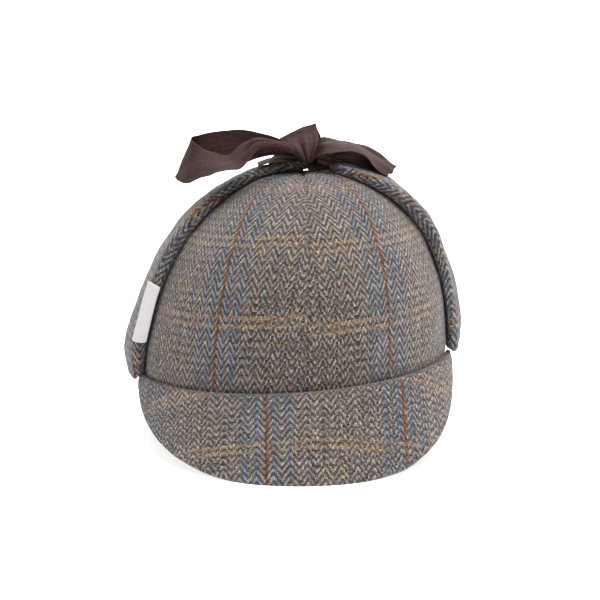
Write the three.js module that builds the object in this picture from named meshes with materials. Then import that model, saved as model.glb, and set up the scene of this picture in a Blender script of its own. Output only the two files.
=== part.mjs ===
// A tweed deerstalker hat, resting on the edges of its two peaks with its ear flaps tied up over the crown.
// Millimetres, +Z up. The front looks towards -Y, so the wearer's left is +X. The floor is z = 0.
import * as THREE from "three";

// ---- Driving sizes ----
const CROWN_HALF_WIDTH = 89; // outside of the cloth at the rim, ear to ear
const CROWN_HALF_LENGTH = 103; // outside of the cloth at the rim, front to back
const CROWN_HEIGHT = 108; // from the rim to the top
const CROWN_FULLNESS = 2.25; // 2 is a plain ellipse; more is squarer in the shoulder
const CROWN_WALL = 2.5;
const RIM_Z = 38; // height of the rim over the floor
const RIM_TILT = 3.6; // degrees, higher on the wearer's left
const TOP_LEAN = 5; // how much further to the wearer's left the soft top stands than the rim
const SEAM_GAP = 0.3;
const PEAK_WALL = 3;
const RIBBON_WALL = 1;

const { degToRad: radians, lerp, smoothstep } = THREE.MathUtils;

// ---- Colours ----
const tweed = new THREE.MeshStandardMaterial({ color: 0x7d746d, roughness: 0.95, metalness: 0 });
const ribbon = new THREE.MeshStandardMaterial({ color: 0x4a322f, roughness: 0.6, metalness: 0 });
const tape = new THREE.MeshStandardMaterial({ color: 0xe4e2de, roughness: 0.8, metalness: 0 });

const hat = new THREE.Group();

function addPiece(name, geometry, material) {
  const piece = new THREE.Mesh(geometry, material);
  piece.name = name;
  hat.add(piece);
}

// ---- Shared geometry ----

// The soft hat has settled to one side: the rim rises towards the left and the top leans that way.
function settle(p) {
  const lifted = smoothstep(p.z, 0, RIM_Z) * Math.tan(radians(RIM_TILT)) * p.x;
  const leant = (TOP_LEAN * (p.z - RIM_Z)) / CROWN_HEIGHT;
  return p.set(p.x + leant, p.y, p.z + lifted);
}

// A closed wall between two surfaces, each giving a point for u and v from 0 to 1.
function wallBetween(outer, inner, columns, rows) {
  const points = [];
  for (const surface of [outer, inner])
    for (let j = 0; j <= rows; j++)
      for (let i = 0; i <= columns; i++) points.push(surface(i / columns, j / rows));
  const at = (side, i, j) => (side * (rows + 1) + j) * (columns + 1) + i;
  const faces = [];
  const quad = (a, b, c, d) => faces.push(a, b, c, a, c, d);
  for (let j = 0; j < rows; j++)
    for (let i = 0; i < columns; i++) {
      quad(at(0, i, j), at(0, i + 1, j), at(0, i + 1, j + 1), at(0, i, j + 1));
      quad(at(1, i, j), at(1, i, j + 1), at(1, i + 1, j + 1), at(1, i + 1, j));
    }
  for (let i = 0; i < columns; i++) {
    quad(at(1, i, 0), at(1, i + 1, 0), at(0, i + 1, 0), at(0, i, 0));
    quad(at(0, i, rows), at(0, i + 1, rows), at(1, i + 1, rows), at(1, i, rows));
  }
  for (let j = 0; j < rows; j++) {
    quad(at(0, 0, j), at(0, 0, j + 1), at(1, 0, j + 1), at(1, 0, j));
    quad(at(1, columns, j), at(1, columns, j + 1), at(0, columns, j + 1), at(0, columns, j));
  }
  return closedGeometry(points, faces);
}

// The point at u, v of a surface, moved out along the surface's own normal.
function offset(surface, u, v, distance) {
  const step = 1e-3;
  const slopeOf = (a, b) => b.clone().sub(a);
  const alongU = slopeOf(surface(Math.max(u - step, 0), v), surface(Math.min(u + step, 1), v));
  const alongV = slopeOf(surface(u, Math.max(v - step, 0)), surface(u, Math.min(v + step, 1)));
  return surface(u, v).addScaledVector(alongU.cross(alongV).normalize(), distance);
}

// Geometry from points and triangles, turned to face outwards whichever way round it was listed.
function closedGeometry(points, faces) {
  const cross = new THREE.Vector3();
  let volume = 0;
  for (let f = 0; f < faces.length; f += 3) {
    const [a, b, c] = [points[faces[f]], points[faces[f + 1]], points[faces[f + 2]]];
    volume += a.dot(cross.crossVectors(b, c));
  }
  const facing = volume > 0 ? faces : faces.toReversed();
  const geometry = new THREE.BufferGeometry().setFromPoints(points).setIndex(facing);
  geometry.computeVertexNormals();
  return geometry;
}

// Rows of a short table as objects, named by its column heads.
function table(columns, rows) {
  return rows.map((row) => Object.fromEntries(columns.map((name, i) => [name, row[i]])));
}

// A smooth curve through each column of a table, read at t from 0 to 1.
function readTable(rows, t) {
  const place = Math.min(t, 0.999999) * (rows.length - 1);
  const i = Math.floor(place);
  const f = place - i;
  const row = (k) => rows[Math.min(Math.max(k, 0), rows.length - 1)];
  const values = {};
  for (const name of Object.keys(rows[0])) {
    const [a, b, c, d] = [row(i - 1)[name], row(i)[name], row(i + 1)[name], row(i + 2)[name]];
    values[name] =
      b + 0.5 * f * (c - a + f * (2 * a - 5 * b + 4 * c - d + f * (3 * (b - c) + d - a)));
  }
  return values;
}

// ---- Crown: four cut panels, seamed at the front, the back and under the two flaps ----

const CROWN_TOP = 89.2; // degrees up the side where the panels stop, short of meeting in a point

// A point off the crown's outside, at an angle round it (0 in front, 90 at the left ear) and up its side.
function crownPoint(angle, climb, off) {
  const reach = Math.cos(climb) ** (2 / CROWN_FULLNESS);
  return new THREE.Vector3(
    (CROWN_HALF_WIDTH + off) * reach * Math.sin(angle),
    -(CROWN_HALF_LENGTH + off) * reach * Math.cos(angle),
    RIM_Z + (CROWN_HEIGHT + off) * Math.sin(climb) ** (2 / CROWN_FULLNESS),
  );
}

function crownPanel(fromDegrees, toDegrees) {
  const surface = (off) => (u, v) => {
    const climb = radians(CROWN_TOP) * v;
    const reach = Math.cos(climb) ** (2 / CROWN_FULLNESS);
    const seam = SEAM_GAP / 2 / (CROWN_HALF_WIDTH * reach);
    const angle = lerp(radians(fromDegrees) + seam, radians(toDegrees) - seam, u);
    return settle(crownPoint(angle, climb, off));
  };
  return wallBetween(surface(0), surface(-CROWN_WALL), 12, 14);
}

addPiece("crown_front_left", crownPanel(0, 90), tweed);
addPiece("crown_back_left", crownPanel(90, 180), tweed);
addPiece("crown_back_right", crownPanel(180, 270), tweed);
addPiece("crown_front_right", crownPanel(270, 360), tweed);

// ---- Peaks: each a curved blade sewn along the rim, its edge resting on the floor ----

const PEAK_END = 79; // degrees round the rim from the middle of the peak to its end
const PEAK_SLOPE = 40; // degrees down from level, from the rim to its edge
const PEAK_FLARE = 0.5; // how far its edge stands out beyond the side of the crown
const PEAK_PRESSED = 1.06; // the middle of its edge would reach this share of the way down, past the floor
const PEAK_BREADTH = 2.5; // the outline's powers: how broad the middle of the edge is, and
const PEAK_TAPER = 0.62; // how quickly the blade narrows at its ends
const PEAK_END_DEPTH = 1; // depth left at the two ends

function peak(facing) {
  const underside = (u, v) => {
    const round = 2 * u - 1;
    const angle = radians(PEAK_END) * round;
    const share = Math.max(1 - Math.abs(round) ** PEAK_BREADTH, 0) ** PEAK_TAPER;
    const fall = Math.max(RIM_Z * PEAK_PRESSED * share, PEAK_END_DEPTH) * v;
    const x = Math.sin(angle) * (CROWN_HALF_WIDTH + PEAK_FLARE * v);
    const y = -CROWN_HALF_LENGTH * Math.cos(angle) - fall / Math.tan(radians(PEAK_SLOPE));
    return new THREE.Vector3(x, facing * y, RIM_Z - SEAM_GAP - fall);
  };
  const face = (height) => (u, v) => {
    const point = offset(underside, u, v, -height * facing);
    point.z = THREE.MathUtils.clamp(point.z, 0, RIM_Z - SEAM_GAP);
    return settle(point);
  };
  return wallBetween(face(PEAK_WALL), face(0), 36, 7);
}

addPiece("front_peak", peak(1), tweed);
addPiece("back_peak", peak(-1), tweed);

// ---- Ear flaps: double tweed, sewn outside the rim, folded up over the sides and tied above the crown ----

const FLAP_SEAM_HALF_WIDTH = 16; // each flap is sewn to the rim between the ends of the two peaks
const FOLD_INSIDE = 0.8; // the radius left inside the fold
const LEFT_FOLD_LIFT = 2.7; // how far over the rim each fold turns
const RIGHT_FOLD_LIFT = 0.5;
const FOLD_SHARE = 0.16; // share of the flap's rows that make the fold
const FOLD_SPREAD_FROM = 75; // degrees of the fold's turn between which it widens to the whole flap
const FOLD_SPREAD_TO = 150;
const FOLD_RISE = 1 / 12; // share of the rest of the flap in which it leaves the height of its fold
const FLAP_EDGE = 0.4; // thickness of the flap's edge beside that of its middle
const FLAP_EDGE_POWER = 6; // how close to the edge the rounding starts

// A point off the crown at a distance y along it, found by its angle over the top from one side.
function overCrown(over, y, off) {
  const [a, b, h] = [CROWN_HALF_WIDTH + off, CROWN_HALF_LENGTH + off, CROWN_HEIGHT + off];
  const [cos, sin] = [Math.cos(over), Math.max(Math.sin(over), 0)];
  let [near, far] = [0, 2 * CROWN_HEIGHT];
  for (let step = 0; step < 30; step++) {
    const r = (near + far) / 2;
    const within = Math.hypot((r * cos) / a, y / b) ** CROWN_FULLNESS + ((r * sin) / h) ** CROWN_FULLNESS < 1;
    [near, far] = within ? [r, far] : [near, r];
  }
  return new THREE.Vector3(near * cos, y, RIM_Z + near * Math.sin(over));
}

// Along each flap from the rim to its tip: the angle over the crown, its front and back edges, the gap under
// it, how much more its two edges stand off, and half its thickness.
const flapColumns = ["over", "front", "back", "gap", "flare", "half"];
const leftFlap = table(flapColumns, [
  [0, -29, 29.5, 3.6, -0.6, 2.2],
  [10, -31, 33, 5, -3.8, 2.3],
  [24, -33, 35, 2.8, -1.8, 2.3],
  [42, -33, 35, 1.4, 0.2, 2.6],
  [60, -30, 31, 1, 0.4, 2.6],
  [76, -22, 23, 1, 0, 2.5],
  [81, -12, 13, 1, 0, 2.3],
]);
const rightFlap = table(flapColumns, [
  [0, -29, 29.5, 4.2, -1.4, 2.2],
  [8, -31, 33, 5, -2.6, 3.1],
  [22, -33, 35, 2.7, -0.8, 2.8],
  [42, -33, 35, 1.2, 0.4, 2.8],
  [60, -24, 33, 1, 0.2, 2.6],
  [78, -4, 31, 1, 0, 2.5],
  [92, 4, 20, 1, 0, 2.3],
]);

function earFlap(rows, side, foldLift) {
  const foldOff = rows[0].gap - FOLD_INSIDE;
  const seamHalfWall = (foldOff - FOLD_INSIDE - SEAM_GAP) / 2;
  const surface = (face) => (u, v) => {
    const across = 2 * u - 1;
    const edge = lerp(FLAP_EDGE, 1, Math.sqrt(1 - Math.abs(across) ** FLAP_EDGE_POWER));
    if (v < FOLD_SHARE) {
      const turned = v / FOLD_SHARE;
      const turn = Math.PI * turned;
      const halfWall = lerp(seamHalfWall, rows[0].half, turned);
      const reach = FOLD_INSIDE + halfWall + face * lerp(seamHalfWall, rows[0].half * edge, turned);
      const off = foldOff - reach * Math.cos(turn) + rows[0].flare * (across * turned) ** 2;
      const spread = smoothstep(turn, radians(FOLD_SPREAD_FROM), radians(FOLD_SPREAD_TO));
      const front = lerp(-FLAP_SEAM_HALF_WIDTH, rows[0].front, spread);
      const back = lerp(FLAP_SEAM_HALF_WIDTH, rows[0].back, spread);
      const y = lerp(front, back, u);
      const x = (CROWN_HALF_WIDTH + off) * Math.sqrt(1 - (y / (CROWN_HALF_LENGTH + off)) ** 2);
      return settle(new THREE.Vector3(side * x, y, RIM_Z + foldLift - reach * Math.sin(turn)));
    }
    const along = (v - FOLD_SHARE) / (1 - FOLD_SHARE);
    const row = readTable(rows, along);
    const lift = Math.max(0, 1 - along / FOLD_RISE) * foldLift;
    const over = radians(row.over) + lift / CROWN_HALF_WIDTH;
    const off = row.gap + row.flare * across ** 2 + row.half * (1 + face * edge);
    const point = overCrown(over, lerp(row.front, row.back, u), off);
    point.x *= side;
    return settle(point);
  };
  return wallBetween(surface(1), surface(-1), 10, 27);
}

addPiece("ear_flap_left", earFlap(leftFlap, 1, LEFT_FOLD_LIFT), tweed);
addPiece("ear_flap_right", earFlap(rightFlap, -1, RIGHT_FOLD_LIFT), tweed);

// ---- Label: a folded tape caught in the front edge of the right flap ----

const LABEL_WALL = 1.2;
const LABEL_FROM = 1.36; // rows of the right flap's table between which it is sewn in
const LABEL_TO = 2.54;
const LABEL_PROUD = 2; // how far it stands past the two faces of the flap

function labelTape() {
  const surface = (depth) => (u, v) => {
    const row = readTable(rightFlap, lerp(LABEL_FROM, LABEL_TO, v) / (rightFlap.length - 1));
    const off = row.gap + row.flare + lerp(0, 2 * row.half + LABEL_PROUD, u);
    const point = overCrown(radians(row.over), row.front, off);
    point.y -= SEAM_GAP + depth;
    point.x *= -1;
    return settle(point);
  };
  return wallBetween(surface(LABEL_WALL), surface(0), 3, 10);
}

addPiece("label", labelTape(), tape);

// ---- Bow: one ribbon from each flap, tied over the top ----

const knotPlace = new THREE.Vector3(6.5, -8, RIM_Z + 117.5);
const knotHalf = new THREE.Vector3(6, 5.5, 6);

// A ribbon's middle line from the knot, the way its width lies (tilt from upright, and turn of that tilt
// from +X towards +Y, in degrees), and the width it is gathered to.
const ribbonColumns = ["x", "y", "z", "tilt", "turn", "width"];

function ribbonStrip(rows) {
  const middle = (u, v) => {
    const row = readTable(rows, v);
    const along = new THREE.Vector3().setFromSphericalCoords(
      (u - 0.5) * row.width,
      radians(row.tilt),
      radians(row.turn),
    );
    // Spherical angles have their pole on Y: here it is on Z.
    return new THREE.Vector3(row.x + along.z, row.y + along.x, row.z + along.y).add(knotPlace);
  };
  const face = (side) => (u, v) => offset(middle, u, v, (side * RIBBON_WALL) / 2);
  return wallBetween(face(1), face(-1), 2, (rows.length - 1) * 2);
}

const knot = new THREE.SphereGeometry(1, 16, 12);
knot.scale(knotHalf.x, knotHalf.y, knotHalf.z).translate(knotPlace.x, knotPlace.y, knotPlace.z);
addPiece("bow_knot", knot, ribbon);

// Out along the front, round the tip and back behind.
const loopRight = table(ribbonColumns, [
  [-6.8, -3, 0.6, 10, 90, 5],
  [-15.4, -9.5, 2.5, 10, 90, 6.4],
  [-22.3, -12, 3.5, 14, 90, 8],
  [-29.1, -12.5, 3.1, 38, 90, 14.8],
  [-36.9, -9.5, 0.8, 58, 90, 22.4],
  [-43.7, -9, -2.8, 73, 90, 23],
  [-51.3, -9.5, -3.3, 67, 85, 23],
  [-58.3, -8, -3.7, 47, 81, 22],
  [-64, -4, -3.8, 26, 65, 25],
  [-67.4, 2.5, -2.6, 23, 30, 25],
  [-67.6, 9, -1.1, 26, 10, 25],
  [-64, 14.5, 0.4, 25, 6, 23],
  [-55.6, 17, 1.9, 14, 0, 22],
  [-46, 18, 2.5, 8, 0, 22],
  [-36.5, 17.5, 3.6, 6, -90, 20.6],
  [-25.6, 13.5, 4.4, 8, -90, 14.3],
  [-16.2, 9, 4.1, 8, -90, 10],
  [-7.4, 3.4, 1.4, 6, -90, 5.4],
]);

// Out over the top, under at the tip and back along the flap.
const loopLeft = table(ribbonColumns, [
  [7.6, -0.5, 3.4, 58, 88, 9],
  [12.4, -1, 6, 68, 91, 18.4],
  [21, -0.5, 6.3, 79, 91, 23.5],
  [28.3, 0.5, 5.3, 81, 89, 23.3],
  [35.9, 1.5, 1.6, 83, 86, 23.3],
  [42.2, 3, -3.2, 79, 78, 23],
  [47.4, 4, -6.8, 79, 70, 22],
  [50.8, 3.5, -9.2, 81, 67, 20],
  [49.4, 4.5, -10.8, 85, 67, 16],
  [43, 5, -7.6, 89, 68, 14],
  [33.7, 5, -3.6, 88, 69, 14],
  [24.1, 4.5, -1.2, 82, 76, 12],
  [15.6, 3, 0.2, 78, 79, 10.4],
  [9, 1.5, 0.8, 65, 79, 6],
]);

// Up behind the knot, folded over and down the back of the crown.
const tailRight = table(ribbonColumns, [
  [-0.3, 6.5, 3, 76, 0, 5.9],
  [-0.7, 8, 6.7, 75, 0, 13],
  [-2.4, 9, 10.1, 72, 0, 18.2],
  [-3.8, 10, 12.5, 70, 0, 20.5],
  [-4.2, 12.5, 13.3, 69, 0, 21.5],
  [-2.6, 16, 11.4, 73, 0, 22],
  [-0.6, 19, 7.2, 78, 0, 22],
  [-3, 23, 1.6, 85, 0, 22],
  [-6.5, 31, -1.6, 89, 0, 22],
  [-8.5, 41, -6.6, 89, 0, 22],
  [-9, 54, -14, 90, 0, 22],
  [-9, 66, -20.5, 90, 0, 22],
  [-8, 77, -28.5, 90, 0, 22],
  [-7, 86, -37, 90, 0, 22],
]);

const tailLeft = table(ribbonColumns, [
  [4.2, 6.5, -1, 90, 0, 7],
  [6, 14, -1.8, 90, 0, 13],
  [9.5, 26, -4, 92, 0, 19],
  [13, 38, -8.8, 94, 0, 22],
  [16.5, 52, -14, 98, 0, 22],
  [20, 65, -21, 101, 0, 22],
  [25, 76, -30.5, 103, 0, 22],
  [28, 84, -40, 104, 0, 22],
]);

// From where each tie is stitched on its flap, in to the knot.
const tieRight = table(ribbonColumns, [
  [-27, 14, -6.3, 88, 90, 22],
  [-20, 13, -4, 88, 90, 20],
  [-12, 9, -3, 86, 90, 13],
  [-7, 3, -3.2, 80, 90, 7],
]);

const tieLeft = table(ribbonColumns, [
  [19, 5, -3.1, 84, 83, 16],
  [14, 2, -2.8, 76, 83, 16],
  [9.6, 0, -1.8, 68, 83, 12],
  [7, -0.5, -1.2, 60, 81, 8],
]);

addPiece("bow_loop_right", ribbonStrip(loopRight), ribbon);
addPiece("bow_loop_left", ribbonStrip(loopLeft), ribbon);
addPiece("bow_tail_right", ribbonStrip(tailRight), ribbon);
addPiece("bow_tail_left", ribbonStrip(tailLeft), ribbon);
addPiece("tie_right", ribbonStrip(tieRight), ribbon);
addPiece("tie_left", ribbonStrip(tieLeft), ribbon);

export default hat;
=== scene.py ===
import bmesh
import bpy
import math
from mathutils import Euler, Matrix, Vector, noise


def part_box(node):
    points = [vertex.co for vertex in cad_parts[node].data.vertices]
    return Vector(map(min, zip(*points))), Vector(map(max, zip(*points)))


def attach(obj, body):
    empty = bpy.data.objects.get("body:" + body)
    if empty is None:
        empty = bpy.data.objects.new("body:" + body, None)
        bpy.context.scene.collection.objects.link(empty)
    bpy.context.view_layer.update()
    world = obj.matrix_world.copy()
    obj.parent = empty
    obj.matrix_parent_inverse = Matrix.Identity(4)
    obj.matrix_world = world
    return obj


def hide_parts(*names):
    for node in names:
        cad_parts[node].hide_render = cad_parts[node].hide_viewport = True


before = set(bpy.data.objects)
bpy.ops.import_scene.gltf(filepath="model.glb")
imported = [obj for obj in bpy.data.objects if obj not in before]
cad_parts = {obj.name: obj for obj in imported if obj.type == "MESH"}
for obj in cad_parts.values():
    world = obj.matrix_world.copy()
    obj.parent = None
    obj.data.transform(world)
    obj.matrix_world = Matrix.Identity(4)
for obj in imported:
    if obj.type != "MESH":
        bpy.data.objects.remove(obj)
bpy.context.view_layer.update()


# ---- Camera ----
# It stands in front of the hat, a little above the rim and to the wearer's right, and looks at the middle
# of the hat's height.
camera_distance = 0.95
camera_rise = math.radians(11)
camera_turn = math.radians(3.3)
aim_up = math.radians(1.92)
aim_right = math.radians(0.24)
camera_lens = 96.6
film_width = 36
nearest_seen = 0.05
rim_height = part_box("crown_front_left")[0].z

towards_hat = Euler((math.pi / 2 - camera_rise, 0, -camera_turn))
stand_back = towards_hat.to_matrix() @ Vector((0, 0, camera_distance))
camera = bpy.data.objects.new("camera", bpy.data.cameras.new("camera"))
camera.location = Vector((0, 0, rim_height)) + stand_back
camera.rotation_euler = Euler((math.pi / 2 - camera_rise + aim_up, 0, -camera_turn - aim_right))
camera.data.lens = camera_lens
camera.data.sensor_width = film_width
camera.data.clip_start = nearest_seen
bpy.context.collection.objects.link(camera)
bpy.context.scene.camera = camera


# ---- Table and studio light ----
# A white table, glowing a little so that it stays white, that sweeps up into a white wall behind. One
# broad lamp hangs over the wearer's left, two soft lamps stand at the sides, and one lights the wall.
table_half = 6.0
table_strips = 96
table_white = (0.9, 0.9, 0.9, 1)
table_roughness = 0.9
table_gloss = 0.1
table_glow = 0.7
sweep_from = 1.6
sweep_radius = 1.2
white_light = (1, 1, 1, 1)
light_all_round = 0.24
hat_middle = (0, 0, 0.08)

table_mesh = bmesh.new()
bmesh.ops.create_grid(table_mesh, x_segments=1, y_segments=table_strips, size=table_half)
for vert in table_mesh.verts:
    past = vert.co.y - sweep_from
    if past > 0:
        turn = min(past / sweep_radius, math.pi / 2)
        wall_up = max(past - sweep_radius * math.pi / 2, 0)
        vert.co.y = sweep_from + sweep_radius * math.sin(turn)
        vert.co.z = sweep_radius * (1 - math.cos(turn)) + wall_up
for face in table_mesh.faces:
    face.smooth = True
table_data = bpy.data.meshes.new("table")
table_mesh.to_mesh(table_data)
table_mesh.free()
table = bpy.data.objects.new("table", table_data)
bpy.context.collection.objects.link(table)
table_paint = bpy.data.materials.new("table white")
table_paint.use_nodes = True
table_shader = table_paint.node_tree.nodes["Principled BSDF"]
table_shader.inputs["Base Color"].default_value = table_white
table_shader.inputs["Roughness"].default_value = table_roughness
table_shader.inputs["Specular IOR Level"].default_value = table_gloss
table_shader.inputs["Emission Color"].default_value = white_light
table_shader.inputs["Emission Strength"].default_value = table_glow
table_data.materials.append(table_paint)

sky = bpy.data.worlds.new("studio")
sky.use_nodes = True
sky.node_tree.nodes["Background"].inputs["Color"].default_value = white_light
sky.node_tree.nodes["Background"].inputs["Strength"].default_value = light_all_round
bpy.context.scene.world = sky
bpy.context.scene.view_settings.view_transform = "Standard"


def soft_lamp(name, place, size, watts, aim=hat_middle):
    lamp = bpy.data.lights.new(name, "AREA")
    lamp.shape = "SQUARE"
    lamp.size = size
    lamp.energy = watts
    holder = bpy.data.objects.new(name, lamp)
    holder.location = place
    holder.rotation_euler = (Vector(aim) - Vector(place)).to_track_quat("-Z", "Y").to_euler()
    bpy.context.collection.objects.link(holder)


# Each lamp's place, size and power, and where it points if not at the hat.
soft_lamp("lamp_overhead", (0.34, -0.15, 1.7), 1.2, 41)
soft_lamp("lamp_left", (1.5, -1.1, 0.9), 1.0, 4)
soft_lamp("lamp_right", (-1.4, -1.4, 0.7), 1.2, 2.2)
soft_lamp("lamp_wall", (0, 1.3, 2.2), 1.6, 90, (0, 3.2, 0.6))


# ---- Crown ----
# Four cut panels of wool tweed, seamed down the front, down the back and over each ear, where the flaps
# hide the seam. Their edges are turned in and sewn, so a shallow valley runs along each seam and the rim.
half_width = 0.089
half_length = 0.103
crown_rise = 0.108
fullness = 2.25
tweed_wall = 0.0024
rim_tilt = math.radians(3.6)
top_lean = 0.005
mean_radius = (half_width + half_length) / 2
crown_top = math.radians(89.5)
measured_at = 0.9
measured_steps = 180


def within_one(value):
    return min(max(value, 0), 1)


def eased(share):
    """A share from 0 to 1 that starts and stops gently."""
    return share * share * (3 - 2 * share)


def settle(point):
    """The soft hat has settled to one side: the rim rises and the top leans to the wearer's left."""
    lift = eased(within_one(point.z / rim_height)) * math.tan(rim_tilt) * point.x
    lean = top_lean * (point.z - rim_height) / crown_rise
    return Vector((point.x + lean, point.y, point.z + lift))


def reach_at(climb):
    """How far out the crown stands at a climb, as a share of the rim."""
    return max(math.cos(climb), 0) ** (2 / fullness)


def crown_point(angle, climb, off):
    """A point off the outside of the crown, at an angle round it from the front and up its side."""
    reach = reach_at(climb)
    return Vector((
        (half_width + off) * reach * math.sin(angle),
        -(half_length + off) * reach * math.cos(angle),
        rim_height + (crown_rise + off) * math.sin(climb) ** (2 / fullness),
    ))


def way_up():
    """Climb against the length of cloth from the rim, stepped up the crown between front and side."""
    steps = [(0.0, 0.0)]
    before = crown_point(measured_at, 0, 0)
    for step in range(1, measured_steps + 1):
        climb = crown_top * step / measured_steps
        here = crown_point(measured_at, climb, 0)
        steps.append((climb, steps[-1][1] + (here - before).length))
        before = here
    return steps


side_steps = way_up()


def cloth_up(climb):
    """Metres of cloth from the rim up to a climb."""
    for (climb_a, way_a), (climb_b, way_b) in zip(side_steps, side_steps[1:]):
        if climb <= climb_b:
            return way_a + (way_b - way_a) * (climb - climb_a) / (climb_b - climb_a)
    return side_steps[-1][1]


def dip(distance, width):
    """1 in the middle of a sewn valley, falling to 0 a few widths away."""
    return math.exp(-((distance / width) ** 2))


def soft_wave(point, size, height):
    """The small unevenness of soft cloth."""
    return height * noise.noise(point / size)


def soft_waves(point, waves):
    return sum(soft_wave(point, size, height) for size, height in waves)


# The cloth: woollen herringbone, six threads to a column, light threads up it and dark threads across. Up
# it run rust stripes between blue bands, with ochre threads half way, and pairs of tan threads cross it.
thread = 0.0007
pick = 0.00115
twill_repeat = 4
column_threads = 6
rust_every = 105
rust_half_width = 1
blue_bands = (6.5, 15.5)
blue_half_width = 2.1
tan_every = 39
tan_pair = (0.5, 4.5)
tan_half_width = 0.6
blue_in_weft = 0.45
rust_in_warp = 0.9
rust_in_weft = 0.5
rust_unevenness = 0.9
tan_strength = 0.8
tan_in_warp = 0.6
warp_on_top = 0.76
stroke_ends = 0.5
stroke_sides = 0.7
weft_sunk = 0.75
colour_run = 330
yarns_apart = 3.7
own_colour = 0.25
# Noise sizes, per metre of cloth.
drift_and_waver = ((140, 0.0012), (800, 0.00105))
patches = 230
worn_places = 420
specks = 850
fibre_mix = 1100
hairs = 1700
fuzz_size = 2300
broad_tone = 60
tufts = (
    (290, (0.72, 0.92, 1.14), (1.26, 1.0, 0.74)),
    (350, (1.02, 0.87, 1.1), (0.92, 1.06, 0.86)),
)
no_tint = (1, 1, 1, 1)
blue_warp = (0.155, 0.225, 0.305, 1)
blue_weft = (0.035, 0.058, 0.10, 1)
ochre = (0.38, 0.24, 0.07, 1)
bright_rust = (0.34, 0.115, 0.035, 1)
brown_rust = (0.15, 0.06, 0.028, 1)
rust_weft = (0.07, 0.026, 0.014, 1)
tan_weft = (0.42, 0.24, 0.11, 1)
tan_warp = (0.52, 0.31, 0.15, 1)
light_yarn = (
    (0.25, (0.07, 0.13, 0.21, 1)),
    (0.33, (0.22, 0.25, 0.28, 1)),
    (0.42, (0.30, 0.255, 0.225, 1)),
    (0.50, (0.44, 0.40, 0.36, 1)),
    (0.57, (0.26, 0.225, 0.23, 1)),
    (0.64, (0.36, 0.27, 0.15, 1)),
    (0.72, (0.18, 0.24, 0.20, 1)),
)
dark_yarn = (
    (0.28, (0.028, 0.042, 0.07, 1)),
    (0.37, (0.070, 0.056, 0.049, 1)),
    (0.46, (0.036, 0.028, 0.024, 1)),
    (0.54, (0.100, 0.072, 0.058, 1)),
    (0.61, (0.105, 0.056, 0.045, 1)),
    (0.72, (0.055, 0.072, 0.066, 1)),
)


def adder(tree):
    """Gives a function that adds one Math node and returns its result."""
    def maths(operation, *values):
        node = tree.nodes.new("ShaderNodeMath")
        node.operation = operation
        for number, value in enumerate(values):
            if isinstance(value, (int, float)):
                node.inputs[number].default_value = value
            else:
                tree.links.new(value, node.inputs[number])
        return node.outputs[0]
    return maths


def varied(maths, value, least, more):
    """least where the value is 0, and more on top of it where the value is 1."""
    return maths("ADD", least, maths("MULTIPLY", value, more))


def either(maths, chooser, first, second):
    """The first where the chooser is 1, and the second where it is 0."""
    return maths("ADD", maths("MULTIPLY", chooser, first),
                 maths("MULTIPLY", maths("SUBTRACT", 1, chooser), second))


def cloth_finish(name):
    """A new material, its tree, shader and Math adder, and the place of each point in the flat cloth."""
    cloth = bpy.data.materials.new(name)
    cloth.use_nodes = True
    tree = cloth.node_tree
    laid = tree.nodes.new("ShaderNodeUVMap")
    laid.uv_map = "cloth"
    flat = tree.nodes.new("ShaderNodeSeparateXYZ")
    tree.links.new(laid.outputs[0], flat.inputs[0])
    return cloth, tree, tree.nodes["Principled BSDF"], adder(tree), laid.outputs[0], flat.outputs


def raise_relief(tree, shader, height, strength, distance):
    relief = tree.nodes.new("ShaderNodeBump")
    relief.inputs["Strength"].default_value = strength
    relief.inputs["Distance"].default_value = distance
    tree.links.new(height, relief.inputs["Height"])
    tree.links.new(relief.outputs[0], shader.inputs["Normal"])


def wool_mix(tree, value, stops):
    """The colours of one mixed yarn, picked by a value from 0 to 1."""
    ramp = tree.nodes.new("ShaderNodeValToRGB")
    elements = ramp.color_ramp.elements
    elements[0].position, elements[0].color = stops[0]
    elements[1].position, elements[1].color = stops[-1]
    for position, colour in stops[1:-1]:
        elements.new(position).color = colour
    tree.links.new(value, ramp.inputs[0])
    return ramp.outputs[0]


def chance(tree, *numbers):
    """A value from 0 to 1 that is the same wherever the numbers are."""
    place = tree.nodes.new("ShaderNodeCombineXYZ")
    for slot, number in zip(place.inputs, numbers):
        if isinstance(number, (int, float)):
            slot.default_value = number
        else:
            tree.links.new(number, slot)
    dice = tree.nodes.new("ShaderNodeTexWhiteNoise")
    tree.links.new(place.outputs[0], dice.inputs["Vector"])
    return dice.outputs["Value"]


def soft_noise(tree, vector, scale, detail):
    cloud = tree.nodes.new("ShaderNodeTexNoise")
    cloud.inputs["Scale"].default_value = scale
    cloud.inputs["Detail"].default_value = detail
    tree.links.new(vector, cloud.inputs["Vector"])
    return cloud.outputs[0]


def mixed(tree, share, first, second, blend="MIX"):
    node = tree.nodes.new("ShaderNodeMix")
    node.data_type = "RGBA"
    node.blend_type = blend
    for socket, value in ((node.inputs[0], share), (node.inputs[6], first), (node.inputs[7], second)):
        if isinstance(value, (int, float, tuple)):
            socket.default_value = value
        else:
            tree.links.new(value, socket)
    return node.outputs[2]


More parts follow.
